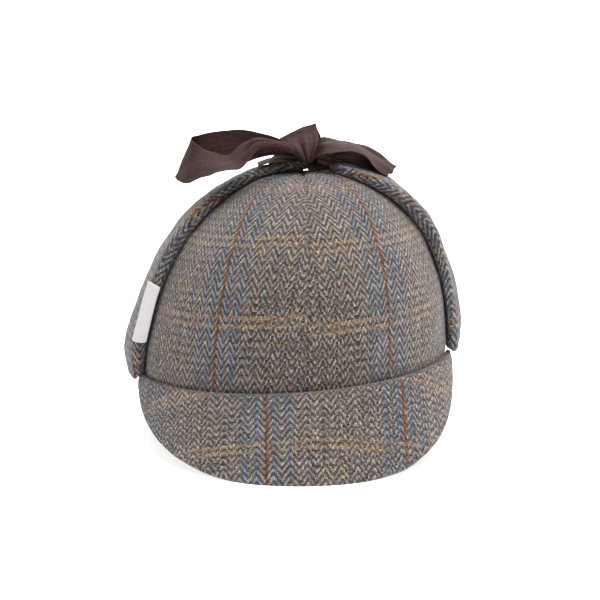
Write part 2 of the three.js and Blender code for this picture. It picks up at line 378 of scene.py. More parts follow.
def herringbone(name):
    cloth, tree, shader, maths, laid, flat = cloth_finish(name)
    across, along = flat[0], flat[1]
    # The yarns lie a little unevenly: a slow drift, and a short waver from float to float.
    for scale, amount in drift_and_waver:
        drift = tree.nodes.new("ShaderNodeTexNoise")
        drift.inputs["Scale"].default_value = scale
        drift.inputs["Detail"].default_value = 2
        tree.links.new(laid, drift.inputs["Vector"])
        drifts = tree.nodes.new("ShaderNodeSeparateColor")
        tree.links.new(drift.outputs["Color"], drifts.inputs[0])
        sideways = maths("SUBTRACT", drifts.outputs[0], 0.5)
        lengthways = maths("SUBTRACT", drifts.outputs[1], 0.5)
        across = maths("ADD", across, maths("MULTIPLY", sideways, amount))
        along = maths("ADD", along, maths("MULTIPLY", lengthways, amount))

    ends = maths("DIVIDE", across, thread)
    picks = maths("DIVIDE", along, pick)
    end_number = maths("FLOOR", ends)
    pick_number = maths("FLOOR", picks)
    in_end = maths("FRACT", ends)
    in_pick = maths("FRACT", picks)
    slope = maths("SUBTRACT", maths("PINGPONG", maths("ADD", end_number, 0.5), column_threads), 0.5)
    step = maths("ADD", slope, pick_number)
    phase = maths("FLOORED_MODULO", step, twill_repeat)
    float_number = maths("FLOOR", maths("DIVIDE", step, twill_repeat))
    column = maths("FLOOR", maths("DIVIDE", end_number, column_threads))
    warp_up = maths("LESS_THAN", phase, twill_repeat / 2 - 0.5)
    in_pair = maths("FLOORED_MODULO", end_number, 2 * column_threads)
    rising = maths("LESS_THAN", in_pair, column_threads - 0.5)

    # Each float is a rounded stroke of yarn two crossings long.
    warp_run = maths("MULTIPLY", maths("ADD", phase, in_pick), 0.5)
    weft_step = either(maths, rising, in_end, maths("SUBTRACT", 1, in_end))
    weft_phase = maths("SUBTRACT", phase, twill_repeat / 2)
    weft_run = maths("MULTIPLY", maths("ADD", weft_phase, weft_step), 0.5)

    def stroke(run, side):
        arch = maths("SINE", maths("MULTIPLY", run, math.pi))
        round_side = maths("SINE", maths("MULTIPLY", side, math.pi))
        return maths("MULTIPLY", maths("POWER", maths("MAXIMUM", arch, 0.001), stroke_ends),
                     maths("POWER", maths("MAXIMUM", round_side, 0.001), stroke_sides))

    warp_height = stroke(warp_run, in_end)
    weft_height = maths("MULTIPLY", stroke(weft_run, in_pick), weft_sunk)
    height = either(maths, warp_up, warp_height, weft_height)

    # Wool of several colours is spun into each yarn: its colour drifts along it and from float to float.
    warp_place = tree.nodes.new("ShaderNodeCombineXYZ")
    tree.links.new(maths("MULTIPLY", end_number, yarns_apart), warp_place.inputs[0])
    tree.links.new(maths("MULTIPLY", along, colour_run), warp_place.inputs[1])
    weft_place = tree.nodes.new("ShaderNodeCombineXYZ")
    tree.links.new(maths("MULTIPLY", across, colour_run), weft_place.inputs[0])
    tree.links.new(maths("MULTIPLY", pick_number, yarns_apart), weft_place.inputs[1])
    weft_place.inputs[2].default_value = 31

    def fleck(place, own):
        run = soft_noise(tree, place.outputs[0], 1, 2)
        return maths("ADD", maths("MULTIPLY", run, 1 - own_colour), maths("MULTIPLY", own, own_colour))

    light_fleck = fleck(warp_place, chance(tree, end_number, float_number, 3))
    dark_fleck = fleck(weft_place, chance(tree, pick_number, float_number, column))
    light_wool = wool_mix(tree, light_fleck, light_yarn)
    dark_wool = wool_mix(tree, dark_fleck, dark_yarn)

    # The overcheck, counted from one rust stripe to the next and from one tan pair to the next.
    shifted = maths("FLOORED_MODULO", maths("ADD", end_number, rust_every / 2), rust_every)
    from_rust = maths("SUBTRACT", shifted, rust_every / 2)
    out_from_rust = maths("ABSOLUTE", maths("SUBTRACT", from_rust, 0.5))
    patchy = maths("MULTIPLY", maths("SUBTRACT", soft_noise(tree, laid, patches, 3), 0.33), 2.6)
    rust = maths("LESS_THAN", out_from_rust, varied(maths, patchy, rust_half_width, rust_unevenness))
    bands = [maths("COMPARE", out_from_rust, band, blue_half_width) for band in blue_bands]
    blue = maths("MAXIMUM", *bands)
    half_way = maths("GREATER_THAN", out_from_rust, (rust_every - 2) / 2)
    from_tan = maths("FLOORED_MODULO", pick_number, tan_every)
    pair = [maths("COMPARE", from_tan, one, tan_half_width) for one in tan_pair]
    tan = maths("MAXIMUM", *pair)
    tan = maths("MULTIPLY", tan, tan_strength)

    worn = maths("MULTIPLY", maths("SUBTRACT", soft_noise(tree, laid, worn_places, 2), 0.3), 2.4)
    warp = mixed(tree, maths("MULTIPLY", blue, worn), light_wool, blue_warp)
    weft = mixed(tree, maths("MULTIPLY", blue, blue_in_weft), dark_wool, blue_weft)
    warp = mixed(tree, maths("MULTIPLY", half_way, worn), warp, ochre)
    rusts = mixed(tree, worn, bright_rust, brown_rust)
    warp = mixed(tree, maths("MULTIPLY", rust, rust_in_warp), warp, rusts)
    weft = mixed(tree, maths("MULTIPLY", rust, rust_in_weft), weft, rust_weft)
    weft = mixed(tree, maths("MULTIPLY", tan, patchy), weft, tan_weft)
    warp = mixed(tree, maths("MULTIPLY", maths("MULTIPLY", tan, patchy), tan_in_warp), warp, tan_warp)
    stray = maths("SUBTRACT", maths("MULTIPLY", soft_noise(tree, laid, hairs, 2), 1.3), 0.53)
    on_top = maths("ADD", maths("MULTIPLY", warp_up, warp_on_top), stray)
    wool = mixed(tree, on_top, weft, warp)
    # Tufts of the coloured wools show across several threads: blue and ochre, then plum and moss.
    for scale, cool, warm in tufts:
        tuft = wool_mix(tree, soft_noise(tree, laid, scale, 2), [
            (0.30, (*cool, 1)),
            (0.42, no_tint),
            (0.57, no_tint),
            (0.70, (*warm, 1)),
        ])
        wool = mixed(tree, 1.0, wool, tuft, "MULTIPLY")

    # Broad shifts of tone, painted shade in the gaps between the floats, and a fuzz of fibres of every
    # colour over them.
    fuzz = soft_noise(tree, laid, fuzz_size, 2)
    speckle = soft_noise(tree, laid, specks, 1)
    broad = soft_noise(tree, laid, broad_tone, 2)
    warp_tone = chance(tree, end_number, float_number, 7)
    weft_tone = chance(tree, pick_number, float_number, column)
    own_tone = either(maths, warp_up, warp_tone, weft_tone)
    # Painted shade: darker where the floats are low, at their ends and sides and over the sunken weft.
    shade = varied(maths, height, 0.46, 0.54)
    shifts = ((fuzz, 0.3, 1.4), (speckle, 0.2, 1.6), (broad, 0.8, 0.4), (own_tone, 0.62, 0.76))
    for value, least, more in shifts:
        shade = maths("MULTIPLY", shade, varied(maths, value, least, more))
    fibres = tree.nodes.new("ShaderNodeTexNoise")
    fibres.inputs["Scale"].default_value = fibre_mix
    fibres.inputs["Detail"].default_value = 1
    tree.links.new(laid, fibres.inputs["Vector"])
    fibre = tree.nodes.new("ShaderNodeSeparateColor")
    tree.links.new(fibres.outputs["Color"], fibre.inputs[0])
    shade_colour = tree.nodes.new("ShaderNodeCombineColor")
    for number in range(3):
        own = varied(maths, fibre.outputs[number], 0.52, 0.96)
        tree.links.new(maths("MULTIPLY", shade, own), shade_colour.inputs[number])
    wool = mixed(tree, 1.0, wool, shade_colour.outputs[0], "MULTIPLY")
    tree.links.new(wool, shader.inputs["Base Color"])

    raise_relief(tree, shader, maths("ADD", height, maths("MULTIPLY", fuzz, 0.6)), 0.8, 0.0003)
    shader.inputs["Roughness"].default_value = 0.95
    shader.inputs["Specular IOR Level"].default_value = 0.15
    shader.inputs["Sheen Weight"].default_value = 0.15
    shader.inputs["Sheen Roughness"].default_value = 0.5
    return cloth


tweed = herringbone("herringbone tweed")


def woven_sheet(name, columns, rows, place, laid, material, middle, wall=0.0):
    """Cloth, each point at place(u, v), and in the flat cloth at laid(u, v), for u and v from 0 to 1. With
    a wall it faces away from the middle. With none it is a closed form, and its ends are filled."""
    sheet = bmesh.new()
    flat = sheet.loops.layers.uv.new("cloth")
    bmesh.ops.create_grid(sheet, x_segments=columns, y_segments=rows, size=0.5)
    for face in sheet.faces:
        for corner in face.loops:
            corner[flat].uv = laid(corner.vert.co.x + 0.5, corner.vert.co.y + 0.5)
    for vert in sheet.verts:
        vert.co = place(vert.co.x + 0.5, vert.co.y + 0.5)
    bmesh.ops.remove_doubles(sheet, verts=sheet.verts, dist=1e-6)
    open_ends = [edge for edge in sheet.edges if edge.is_boundary]
    if wall == 0.0:
        bmesh.ops.holes_fill(sheet, edges=open_ends, sides=0)
        bmesh.ops.recalc_face_normals(sheet, faces=sheet.faces)
    else:
        sheet.normal_update()
        outward = [face.normal.dot(face.calc_center_median() - middle) for face in sheet.faces]
        if sum(way * face.calc_area() for way, face in zip(outward, sheet.faces)) < 0:
            bmesh.ops.reverse_faces(sheet, faces=sheet.faces)
    for face in sheet.faces:
        face.smooth = True
    data = bpy.data.meshes.new(name)
    sheet.to_mesh(data)
    sheet.free()
    data.materials.append(material)
    piece = bpy.data.objects.new(name, data)
    bpy.context.collection.objects.link(piece)
    if wall:
        thickness = piece.modifiers.new("thickness", "SOLIDIFY")
        thickness.thickness = wall
        thickness.offset = -1
        thickness.use_even_offset = False
    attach(piece, "root")
    return piece


panel_columns = 60
panel_rows = 76
hidden_share = 4 / panel_rows
hidden_depth = 0.0035
closer_at_seams = 0.8
closer_at_rim = 1.15
seam_dip = 0.0012
seam_width = 0.0016
rim_dip = 0.0004
rim_dip_width = 0.0013
rim_dip_from, rim_dip_fade = 0.25, 0.15
crown_puckers = ((0.028, 0.0010), (0.009, 0.0003))
sewn_flat = 0.004
flat_at_seam, flat_at_rim = 0.6, 0.85
crown_set_in = 0.0003
grain_angle = math.radians(25)
inside_hat = Vector((0, 0, rim_height + 0.02))


def crown_panel(name, start, end, grain_side, rust_out, tan_up):
    """start and end in degrees round from the front; grain_side turns the cloth's grain that way, and
    rust_out and tan_up shift the overcheck, in metres."""
    def angle_at(u):
        spread = u - closer_at_seams * math.sin(2 * math.pi * u) / (2 * math.pi)
        return math.radians(start + (end - start) * spread)

    def climb_at(v):
        return crown_top * max((v - hidden_share) / (1 - hidden_share), 0) ** closer_at_rim

    def place(u, v):
        angle, climb = angle_at(u), climb_at(v)
        radius = mean_radius * reach_at(climb)
        to_seam = radius * math.radians(end - start) * min(u, 1 - u)
        from_seam = radius * min(angle - math.radians(start), math.radians(end) - angle)
        point = crown_point(angle, climb, 0)
        by_peak = within_one((abs(math.cos(angle)) - rim_dip_from) / rim_dip_fade)
        above_rim = cloth_up(climb)
        below = max(1 - v / hidden_share, 0)
        turned_in = seam_dip * dip(from_seam, seam_width)
        turned_in += rim_dip * by_peak * dip(above_rim, rim_dip_width)
        puckers = soft_waves(point, crown_puckers)
        at_seam, at_rim = dip(to_seam, sewn_flat), dip(above_rim, sewn_flat)
        puckers *= (1 - flat_at_seam * at_seam) * (1 - flat_at_rim * at_rim)
        point = crown_point(angle, climb, puckers - turned_in * (1 - below) - crown_set_in)
        point.z -= hidden_depth * below
        return settle(point)

    def laid(u, v):
        angle, climb = angle_at(u), climb_at(v)
        across = mean_radius * reach_at(climb) * (grain_side * angle - grain_angle)
        return (across - rust_out, cloth_up(climb) - tan_up)

    piece = woven_sheet(name, panel_columns, panel_rows, place, laid, tweed, inside_hat, tweed_wall)
    return piece


# Where each panel starts and ends, in degrees, the side of its grain, and the shift of its overcheck.
crown_panels = {
    "crown_front_left": (0, 90, 1, 0.010, 0.0285),
    "crown_front_right": (-90, 0, -1, 0.0125, 0.034),
    "crown_back_left": (90, 180, 1, 0.12, 0.031),
    "crown_back_right": (-180, -90, -1, 0.11, 0.029),
}
for node, (start, end, side, rust_out, tan_up) in crown_panels.items():
    panel = crown_panel("tweed_" + node, start, end, side, rust_out, tan_up)
    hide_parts(node)


# ---- Peaks ----
# Two stiff curved blades of doubled tweed, one in front and one behind, sewn to the rim. The cloth wraps
# round the edge, which rests on the table where it is lowest.
peak_end = math.radians(79)
peak_slope = math.radians(40)
peak_wall = 0.003
peak_flare = 0.0005
peak_pressed = 1.06
peak_breadth = 2.5
peak_taper = 0.62
peak_shallowest = 0.001
seam_gap = 0.0003
peak_columns = 120
peak_weft_bow = 2.0
front_overcheck = (-0.0206, 0.1123)
back_overcheck = (0.012, 0.100)


def peak_fall(round_share):
    share = max(1 - abs(round_share) ** peak_breadth, 0) ** peak_taper
    return max(rim_height * peak_pressed * share, peak_shallowest)


def peak_middle(round_share, depth, off):
    """A point of the blade: depth is metres down the slope, off is out from its underside."""
    angle = peak_end * round_share
    fall = depth * math.sin(peak_slope)
    full = peak_fall(round_share)
    x = math.sin(angle) * (half_width + peak_flare * min(fall / full, 1))
    y = -half_length * math.cos(angle) - depth * math.cos(peak_slope)
    rim_way = Vector((half_width * math.cos(angle), half_length * math.sin(angle), 0)).normalized()
    down = Vector((0, -math.cos(peak_slope), -math.sin(peak_slope)))
    out = down.cross(rim_way)
    out = out.normalized() * (1 if out.z > 0 or out.y < 0 else -1)
    return Vector((x, y, rim_height - seam_gap - fall)) + out * off


# Shares of the way round a blade's section: to the end of its top, of its edge and of its underside.
peak_top, peak_edge, peak_under = 0.44, 0.56, 0.97
peak_roll_in = 0.0012
peak_roll_down = 0.001
peak_roll_width = 0.003
peak_rows = 68
thin_limit = 0.45
closer_at_ends = 0.12
edge_groove = 0.0003
edge_groove_turn = 0.3
peak_wave, peak_wave_from = (0.03, 0.0009), 0.02
peak_puckers = (0.008, 0.0003)


def once_round(w):
    """The last place round a closed section is the first again."""
    return 0 if w > 0.9999 else w


def peak_section(round_share, w):
    """Round the blade's section: out over the top, round the edge, back underneath and up the seam."""
    long = peak_fall(round_share) / math.sin(peak_slope)
    half = min(peak_wall / 2, long * thin_limit)
    straight = long - half
    if w < peak_top:
        share = w / peak_top
        depth, off = straight * (share - closer_at_ends * math.sin(2 * math.pi * share) / math.pi), half
        off -= peak_roll_down * dip(depth, peak_roll_width)
        depth -= peak_roll_in * dip(depth, peak_roll_width)
    elif w < peak_edge:
        turn = math.pi * (0.5 - (w - peak_top) / (peak_edge - peak_top))
        groove = edge_groove * dip(turn, edge_groove_turn)
        depth, off = straight + (half - groove) * math.cos(turn), half * math.sin(turn)
    elif w < peak_under:
        depth, off = straight * (1 - (w - peak_edge) / (peak_under - peak_edge)), -half
    else:
        lift = (w - peak_under) / (1 - peak_under)
        depth, off = -peak_roll_in * lift, -half + lift * (2 * half - peak_roll_down)
    return depth, off + peak_wall / 2


def peak_across(round_share):
    """Metres of cloth across the blade from its middle."""
    total, steps = 0.0, 24
    for step in range(steps):
        angle = peak_end * round_share * (step + 0.5) / steps
        turn = abs(peak_end * round_share) / steps
        sideways = half_width * math.cos(angle)
        total += turn * math.hypot(sideways, half_length * math.sin(angle) * math.sin(peak_slope))
    return math.copysign(total, round_share)


def peak(name, facing, rust, tan):
    """facing is 1 in front and -1 behind; rust and tan shift the overcheck, in metres."""
    spread = {}

    def place(u, w):
        round_share = 2 * u - 1
        depth, off = peak_section(round_share, once_round(w))
        point = peak_middle(round_share, depth, off)
        loose = min(depth / peak_wave_from, 1)
        point.z += soft_wave(point, *peak_wave) * loose + soft_wave(point, *peak_puckers)
        point.z = min(max(point.z, 0), rim_height - seam_gap)
        point.y *= facing
        return settle(point)

    def laid(u, w):
        round_share = 2 * u - 1
        key = round(u, 5)
        if key not in spread:
            spread[key] = peak_across(round_share)
        depth, off = peak_section(round_share, min(w, peak_under))
        point = peak_middle(round_share, depth, 0)
        down = -point.y * math.cos(peak_slope) + (rim_height - point.z) * math.sin(peak_slope)
        if w > (peak_top + peak_edge) / 2:
            edge = peak_fall(round_share) / math.sin(peak_slope)
            down += 2 * (edge - depth) + peak_wall
        return (spread[key] - rust, down + peak_weft_bow * point.x ** 2 - tan)

    piece = woven_sheet(name, peak_columns, peak_rows, place, laid, tweed, inside_hat)
    return piece


front = peak("tweed_front_peak", 1, *front_overcheck)
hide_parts("front_peak")
back = peak("tweed_back_peak", -1, *back_overcheck)
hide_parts("back_peak")


# ---- Ear flaps ----
# Two thick flaps of doubled, padded tweed. Each is sewn outside the rim over an ear, turned up there in a
# fold, and laid up the side of the crown to where its ribbon starts. A sewn line runs round the middle of
# its edge.
fold_inside = 0.0008
flap_seam_half = 0.016
flap_clear = 0.3
fold_share = 0.16
fold_rise = 1 / 12
fold_opens = math.radians(75)
flap_puckers = ((0.026, 0.0012), (0.008, 0.0004))
under_sag = 0.3
swell_edge, swell_edge_fade = 0.97, 0.1
swell_fold, swell_fold_fade = 0.5, 0.3
tip_share = 0.015
tip_least = 0.0004
tip_draws_in = 0.06
flap_heads = ("over", "front", "back", "gap", "flare", "half")
# Degrees over the crown, then millimetres: the two edges, the gap under the flap, how much more its edges
# stand off, and half its thickness.
left_flap = (
    (0, -29, 29.5, 3.6, -0.6, 2.2),
    (10, -31, 33, 5, -3.8, 2.3),
    (24, -33, 35, 2.8, -1.8, 2.3),
    (42, -33, 35, 1.4, 1.5, 2.6),
    (60, -30, 31, 1, 1.4, 2.6),
    (76, -22, 23, 1, 0, 2.5),
    (81, -12, 13, 1, 0, 2.3),
)
right_flap = (
    (0, -29, 29.5, 4.2, -1.4, 2.2),
    (8, -31, 33, 5, -2.6, 3.1),
    (22, -33, 35, 2.7, -0.8, 2.8),
    (42, -33, 35, 1.2, 2, 2.8),
    (60, -24, 33, 1, 1.6, 2.6),
    (78, -4, 31, 1, 0, 2.5),
    (92, 4, 20, 1, 0, 2.3),
)


def read_table(heads, rows, t):
    """A smooth curve through each column of a table, read at t from 0 to 1."""
    place = min(max(t, 0), 0.999999) * (len(rows) - 1)
    i = int(place)
    f = place - i
    values = {}
    for number, head in enumerate(heads):
        a, b, c, d = (rows[min(max(k, 0), len(rows) - 1)][number] for k in range(i - 1, i + 3))
        curve = c - a + f * (2 * a - 5 * b + 4 * c - d + f * (3 * (b - c) + d - a))
        values[head] = b + 0.5 * f * curve
    return values


def over_crown(over, y, off):
    """A point off the crown at a distance y along it, found by its angle over the top from one side."""
    cos, sin = math.cos(over), max(math.sin(over), 0)
    near, far = 0, 2 * crown_rise
    for halving in range(34):
        r = (near + far) / 2
        level = math.hypot(r * cos / (half_width + off), y / (half_length + off)) ** fullness
        if level + (r * sin / (crown_rise + off)) ** fullness < 1:
            near = r
        else:
            far = r
    return Vector((near * cos, y, rim_height + near * math.sin(over)))


flap_around = 76
flap_along = 150
# Shares of the way round a flap's section: half the underside, the front edge, the top and the back edge.
flap_parts = (0.13, 0.25, 0.75, 0.87)
least_flat = 0.2
edge_line = 0.18
edge_line_turn = 0.25


def flap_section(half_wide, half_thick, w):
    """Round the flap's section from the middle of its underside: x, height, and the cloth's length."""
    straight = max(half_wide - half_thick, half_wide * least_flat)
    round_wide = half_wide - straight
    curve = math.pi * half_thick
    under_front, front_edge, top, back_edge = flap_parts

    def edge(turn):
        pull = 1 - edge_line * dip(turn - math.pi / 2, edge_line_turn)
        return straight + round_wide * math.sin(turn) * pull, half_thick * math.cos(turn)

    if w < under_front:
        share = w / under_front
        return -straight * share, -half_thick, -straight * (2 - share) - curve
    if w < front_edge:
        share = (w - under_front) / (front_edge - under_front)
        x, t = edge(math.pi * (1 - share))
        return -x, t, -straight - curve * (1 - share)
    if w < top:
        share = (w - front_edge) / (top - front_edge)
        x = straight * (2 * share - 1)
        return x, half_thick, x
    if w < back_edge:
        share = (w - top) / (back_edge - top)
        x, t = edge(math.pi * share)
        return x, t, straight + curve * share
    share = (w - back_edge) / (1 - back_edge)
    return straight * (1 - share), -half_thick, straight * (1 + share) + curve


def ear_flap(name, rows, side, fold_lift, rust, tan):
    """side is 1 on the wearer's left and -1 on the right; fold_lift raises the fold, and rust and tan
    shift the overcheck, all three in metres."""
    first = dict(zip(flap_heads, rows[0]))
    fold_off = first["gap"] / 1000 - fold_inside
    seam_half_wall = (fold_off - fold_inside - seam_gap) / 2
    lengths = {}

    def shape(v):
        """At v along the flap: half its width, half its thickness, and its section's way to a point."""
        tip = max((v - (1 - tip_share)) / tip_share, 0)
        closing = math.sqrt(max(1 - tip * tip, tip_least))
        if v < fold_share:
            turned = v / fold_share
            turn = math.pi * turned
            spread = eased(within_one((turn - fold_opens) / fold_opens))
            front = (1 - spread) * -flap_seam_half + spread * first["front"] / 1000
            back = (1 - spread) * flap_seam_half + spread * first["back"] / 1000
            half = (1 - turned) * seam_half_wall + turned * first["half"] / 1000

            def to_point(x, t):
                reach = fold_inside + half + t
                y = (front + back) / 2 + x
                off = fold_off - reach * math.cos(turn)
                off += first["flare"] / 1000 * (turned * 2 * x / (back - front)) ** 2
                wide = (half_width + off) * math.sqrt(max(1 - (y / (half_length + off)) ** 2, 0))
                return Vector((side * wide, y, rim_height + fold_lift - reach * math.sin(turn)))
            return (back - front) / 2, half * closing, to_point
        along = (v - fold_share) / (1 - fold_share)
        row = read_table(flap_heads, rows, along)
        lift = max(0, 1 - along / fold_rise) * fold_lift
        over = math.radians(row["over"]) + lift / half_width
        half = row["half"] / 1000
        front, back = row["front"] / 1000, row["back"] / 1000
        half_wide = (back - front) / 2

        def to_point(x, t):
            off = row["gap"] / 1000 + row["flare"] / 1000 * (x / half_wide) ** 2 + half + t
            point = over_crown(over, (front + back) / 2 + x, off)
            point.x *= side
            return point
        return half_wide * (1 - tip_draws_in * (1 - closing)), half * closing, to_point

    def place(w, v):
        half_wide, half_thick, to_point = shape(v)
        x, t, cloth = flap_section(half_wide, half_thick, once_round(w))
        sag = soft_waves(to_point(x, t), flap_puckers)
        if t >= 0:
            return settle(to_point(x, t + sag))
        inward = within_one((swell_edge - abs(x) / half_wide) / swell_edge_fade)
        past_fold = within_one((v / fold_share - swell_fold) / swell_fold_fade)
        swell = bulge(x, v) * inward * past_fold * -t / half_thick
        return settle(to_point(x, t + under_sag * sag - swell))

    def bulge(x, v):
        """How far the soft underside has to swell to lie on the crown."""
        row = read_table(flap_heads, rows, (v - fold_share) / (1 - fold_share))
        spread = 2 * x / (row["back"] - row["front"]) * 1000
        return max(row["gap"] + row["flare"] * spread ** 2 - flap_clear, 0) / 1000

    def length_to(v):
        """Metres of cloth up the middle of the flap from where it is sewn."""
        if not lengths:
            total, before = 0.0, None
            for step in range(flap_along + 1):
                here = shape(step / flap_along)[2](0, 0)
                total += (here - before).length if before else 0
                lengths[round(step / flap_along, 5)] = total
                before = here
        return lengths.get(round(v, 5), 0.0)

    def laid(w, v):
        half_wide, half_thick, to_point = shape(v)
        cloth = flap_section(half_wide, half_thick, w)[2]
        return (cloth - rust, length_to(v) - tan)

    piece = woven_sheet(name, flap_around, flap_along, place, laid, tweed, inside_hat)
    return piece


flap_left = ear_flap("tweed_ear_flap_left", left_flap, 1, 0.0027, -0.0255, 0.020)
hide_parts("ear_flap_left")
flap_right = ear_flap("tweed_ear_flap_right", right_flap, -1, 0.0005, -0.030, 0.015)
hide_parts("ear_flap_right")


# ---- Label ----
# A blank white woven tape, folded double and caught in the front edge of the wearer's right flap, with
# its two lower corners rounded. Its ends are counted along the rows of that flap's table.
label_from = 1.36
label_to = 2.54
label_wall = 0.0011
label_proud = 0.002
label_corner = 0.0022
label_size = (0.0078, 0.034)
label_squareness = 0.35
label_wave = 0.0004
tape_around = 28
tape_rows = 60
tape_thread = 0.0005
tape_shade_grey = (0.64, 0.61, 0.62, 1)
tape_white = (0.92, 0.90, 0.91, 1)
# How strongly the painted shade of the weave and the painted clouds of grey shade show in the tape's
# colour.
weave_shade_shows, clouding_shows = 0.05, 0.5


def label_point(s, depth, v):
    """s runs from the crown out over the flap's edge, v from the lower end of the label to the upper."""
    rows_in = len(right_flap) - 1
    row = read_table(flap_heads, right_flap, (label_from + (label_to - label_from) * v) / rows_in)
    off = (row["gap"] + row["flare"] + 2 * row["half"] * s) / 1000 + label_proud * s
    point = over_crown(math.radians(row["over"]), row["front"] / 1000, off)
    point.x *= -1
    point.y -= seam_gap + depth
    return point


def label_place(w, v):
    turn = 2 * math.pi * w
    flat, bulge = math.cos(turn), math.sin(turn)
    flat = math.copysign(abs(flat) ** label_squareness, flat)
    bulge = math.copysign(abs(bulge) ** label_squareness, bulge)
    from_end = label_size[1] * v
    inset = 0.0
    if from_end < label_corner:
        inset = label_corner - math.sqrt(label_corner ** 2 - (label_corner - from_end) ** 2)
    half = 0.5 - inset / label_size[0]
    s = 0.5 + half * flat
    wave = soft_wave(Vector((s * 0.6, v * 3.0, 1.7)), 1.0, label_wave)
    wave += label_wave * math.sin(math.pi * v)
    point = label_point(s, label_wall * (0.5 - 0.5 * bulge) + wave, v)
    return settle(point)


def label_laid(w, v):
    return (label_size[0] * w * 2, label_size[1] * v)


def plain_tape(name):
    """White threads over and under each other, with painted shade in a fine check between them and in
    clouds of grey over the white.
    """
    tape, tree, shader, maths, laid, flat = cloth_finish(name)
    turns = [maths("MULTIPLY", flat[axis], 2 * math.pi / tape_thread) for axis in (0, 1)]
    # Painted shade in the tape's colour: a fine check where the threads cross over and under, and clouds
    # of grey over the white.
    weave = maths("MULTIPLY", maths("SINE", turns[0]), maths("SINE", turns[1]))
    cloud = soft_noise(tree, laid, 160, 3)
    tone = maths("ADD", maths("MULTIPLY", weave, weave_shade_shows), maths("MULTIPLY", cloud, clouding_shows))
    tree.links.new(mixed(tree, tone, tape_shade_grey, tape_white), shader.inputs["Base Color"])
    raise_relief(tree, shader, weave, 0.5, 0.0001)
    shader.inputs["Roughness"].default_value = 0.7
    shader.inputs["Specular IOR Level"].default_value = 0.25
    return tape


woven_tape = plain_tape("white woven tape")
label = woven_sheet("tape_label", tape_around, tape_rows, label_place, label_laid, woven_tape, inside_hat)
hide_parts("label")


# ---- Bow ----
# One brown woven ribbon from each flap, tied over the top in a bow: two loops, two tails, the wrapped
# knot, and the ends that lead in from the flaps. It is gathered in pleats where it enters the knot and
# opens out beyond.
ribbon_cut = 0.025
ribbon_wall = 0.0004
ribbon_columns = 40
steps_per_row = 9
rib_pitch = 0.0007
selvedge_width = 0.0008
# Painted shade in the ribbon's colour: streaks along it for fine lengthwise wrinkles, and darker troughs
# between its ribs.
wrinkle_shade_per_metre = (900, 110)
slubs_per_metre = 700
wrinkle_shade_show, slubs_show, rib_shade_show = 0.9, 0.9, 0.05
selvedge_lighter = 0.35
all_darker = 0.36
ribbon_dark = (0.020, 0.0095, 0.0085, 1)
ribbon_light = (0.082, 0.044, 0.039, 1)
knot_low, knot_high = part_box("bow_knot")
knot_place = (knot_low + knot_high) / 2
knot_half = (knot_high - knot_low) / 2
# Each row is a place along the ribbon, in millimetres from the knot, then the way its width lies, as its
# tilt from upright and its turn in degrees, and how wide it is there.
ribbon_heads = ("x", "y", "z", "tilt", "turn", "width")
loop_right_rows = (
    (-1, 0, -1, 30, 90, 4),
    (-6.8, -3, 3.2, 66, 90, 5),
    (-15.4, -8.5, 6.8, 78, 90, 7),
    (-22.3, -11, 8, 76, 90, 9),
    (-29.1, -12, 7.4, 66, 90, 13),
    (-36.9, -9.5, 0.8, 58, 90, 22.4),
    (-43.7, -9, -2.8, 73, 90, 23),
    (-51.3, -9.5, -3.3, 67, 85, 23),
    (-59.3, -8, -3.7, 47, 81, 22),
    (-65.8, -4, -3.8, 26, 65, 25),
    (-69.4, 2.5, -2.4, 23, 30, 25),
    (-69.6, 9, -0.7, 26, 10, 25),
    (-65.5, 14.5, 0.8, 25, 6, 23),
    (-55.6, 17, 1.9, 14, 0, 22),
    (-46, 18, 2.5, 8, 0, 22),
    (-36.5, 17.5, 3.6, 6, -90, 20.6),
    (-25.6, 13.5, 4.4, 8, -90, 14.3),
    (-16.2, 9, 4.1, 8, -90, 10),
    (-7.4, 3.4, 1.4, 6, -90, 5.4),
    (-1, 0, -1, 6, -90, 4),
)
loop_left_rows = (
    (1.5, -2, -1.5, 50, 88, 5),
    (6, -0.5, 3.6, 54, 88, 12),
    (11.4, -0.5, 6.4, 64, 91, 19.5),
    (21, -0.5, 6.3, 79, 91, 23.5),
    (28.3, 0.5, 5.3, 81, 89, 23.3),
    (35.9, 1.5, 1.6, 83, 86, 23.3),
    (42.2, 3, -3.2, 79, 78, 23),
    (47.4, 4, -6.8, 79, 70, 22),
    (50.6, 4, -8.8, 80, 68, 21),
    (51.1, 4.6, -9.8, 78, 69, 20),
    (49.4, 5.6, -9.9, 74, 71, 20),
    (43, 8, -6.8, 62, 76, 22),
    (33.7, 9.5, -2.6, 56, 78, 23),
    (24.1, 9, -0.6, 54, 80, 21),
    (15.6, 5.5, 0.4, 56, 80, 16),
    (9, 1.5, 0.8, 65, 79, 6),
    (1.5, 0, -1, 60, 79, 4),
)
tail_right_rows = (
    (1.2, -6, -3, 68, 0, 4.5),
    (0.8, -6.8, 0.2, 72, 0, 8),
    (-0.4, -5, 4.4, 73, 0, 14),
    (-1.8, 1, 8.2, 72, 0, 19.5),
    (-3, 7, 10.8, 71, 0, 21.5),
    (-3.8, 10, 13.1, 69, 0, 22.5),
    (-4, 12.5, 14.3, 67, 0, 23),
    (-2.6, 16, 11.4, 73, 0, 22),
    (-0.6, 19, 7.2, 78, 0, 22),
    (-3, 23, 1.6, 85, 0, 22),
    (-6.5, 31, -1.6, 89, 0, 22),
    (-8.5, 41, -6.6, 89, 0, 22),
    (-9, 54, -14, 90, 0, 22),
    (-9, 66, -20.5, 90, 0, 22),
    (-8, 77, -28.5, 90, 0, 22),
    (-7, 86, -37, 90, 0, 22),
)
